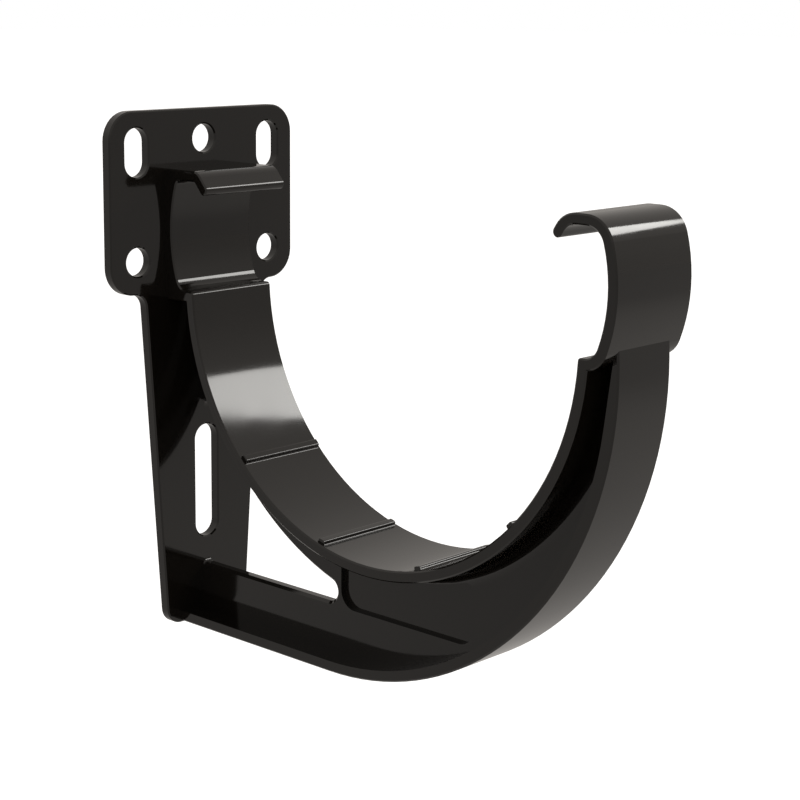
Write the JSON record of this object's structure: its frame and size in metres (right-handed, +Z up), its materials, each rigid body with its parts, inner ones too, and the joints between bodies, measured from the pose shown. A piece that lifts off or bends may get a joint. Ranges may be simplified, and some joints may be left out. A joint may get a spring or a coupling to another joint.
{
  "type": "gutter bracket",
  "caption": "Half-round gutter bracket with a wall plate, a rear clip, a front hook and a webbed rim, moulded in one piece.",
  "frame": {"origin": "on the wall face of the plate, half-way between its two lower fixing holes", "axes": "+X away from the wall, +Y along the gutter, +Z up"},
  "size_m": [0.1424, 0.0604, 0.1327],
  "materials": {
    "black_plastic": "gloss"
  },
  "bodies": {
    "root": {"gutter_bracket": "black_plastic"}
  },
  "joints": []
}
